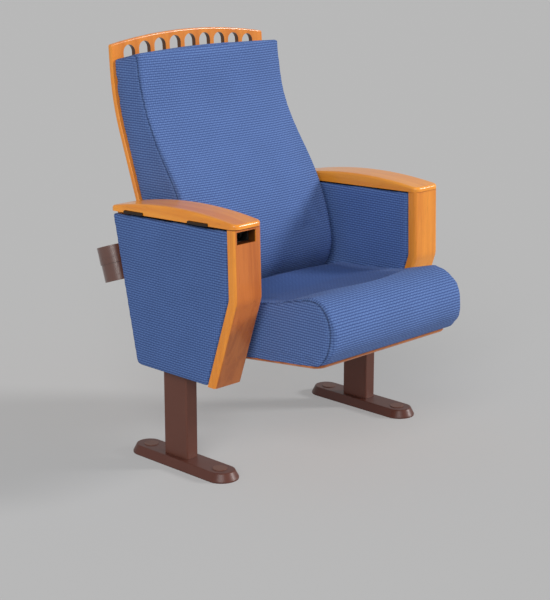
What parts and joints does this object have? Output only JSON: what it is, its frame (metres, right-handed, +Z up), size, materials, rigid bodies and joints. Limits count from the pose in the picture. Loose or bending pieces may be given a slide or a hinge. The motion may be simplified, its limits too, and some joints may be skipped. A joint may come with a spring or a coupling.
{
  "type": "tip-up auditorium chair",
  "caption": "Fixed auditorium chair with a tip-up padded seat, tall padded back on a bent-wood board, boxed arms with wooden caps, a lidded tablet arm and pedestal feet.",
  "frame": {"origin": "on the floor, at the centre of the floor bolts", "axes": "+Z up, +Y to the rear, -X on the left as seen from the front"},
  "size_m": [0.682, 0.6869, 0.942],
  "materials": {
    "orange_wood": "satin lacquer",
    "panel_fabric": "woven",
    "cushion_fabric": "woven",
    "brown_casting": "satin enamel",
    "brown_steel": "satin enamel",
    "black_steel": "powder coat",
    "zinc_steel": "zinc plated",
    "dark_hinge": "bronzed",
    "brown_plastic": "satin",
    "tablet_laminate": "laminate",
    "bush_nylon": "plain",
    "buffer_rubber": "matte"
  },
  "bodies": {
    "frame": {"back_board": "orange_wood", "back_cushion": "cushion_fabric", "back_screws": "zinc_steel", "cup_bracket": "brown_steel", "cup_holder": "brown_plastic", "cup_screws": "zinc_steel", "foot_bolt_caps": "brown_plastic", "left_back_bracket": "black_steel", "left_column": "brown_steel", "left_foot": "brown_casting", "left_front_post": "orange_wood", "left_inner_panel": "panel_fabric", "left_outer_panel": "panel_fabric", "left_pivot_housing": "black_steel", "left_rear_strip": "orange_wood", "lid_hinge_fixed_leaves": "dark_hinge", "lid_hinge_pins": "dark_hinge", "right_arm_cap": "orange_wood", "right_back_bracket": "black_steel", "right_column": "brown_steel", "right_foot": "brown_casting", "right_front_post": "orange_wood", "right_inner_panel": "panel_fabric", "right_outer_panel": "panel_fabric", "right_pivot_housing": "black_steel", "right_rear_strip": "orange_wood", "seat_buffers": "buffer_rubber", "seat_pivot_bushes": "bush_nylon", "tablet_board": "tablet_laminate", "tablet_clevis": "black_steel", "tablet_neck": "black_steel", "tablet_pivot_pin": "zinc_steel"},
    "seat": {"seat_board": "orange_wood", "seat_cushion": "cushion_fabric", "left_seat_hinge": "black_steel", "right_seat_hinge": "black_steel", "seat_screws": "zinc_steel", "seat_pivot_pins": "zinc_steel"},
    "arm_lid": {"left_arm_lid": "orange_wood", "lid_hinge_moving_leaves": "dark_hinge"}
  },
  "joints": [
    {"name": "seat_tip", "type": "hinge", "parent": "frame", "child": "seat", "pos_m": [0, -0.021, 0.322], "axis": [-1, 0, 0], "range_deg": [0, 72]},
    {"name": "lid_flip", "type": "hinge", "parent": "frame", "child": "arm_lid", "pos_m": [-0.337, 0, 0.5738], "axis": [0, -0.9993, 0.0366], "range_deg": [0, 110]}
  ]
}
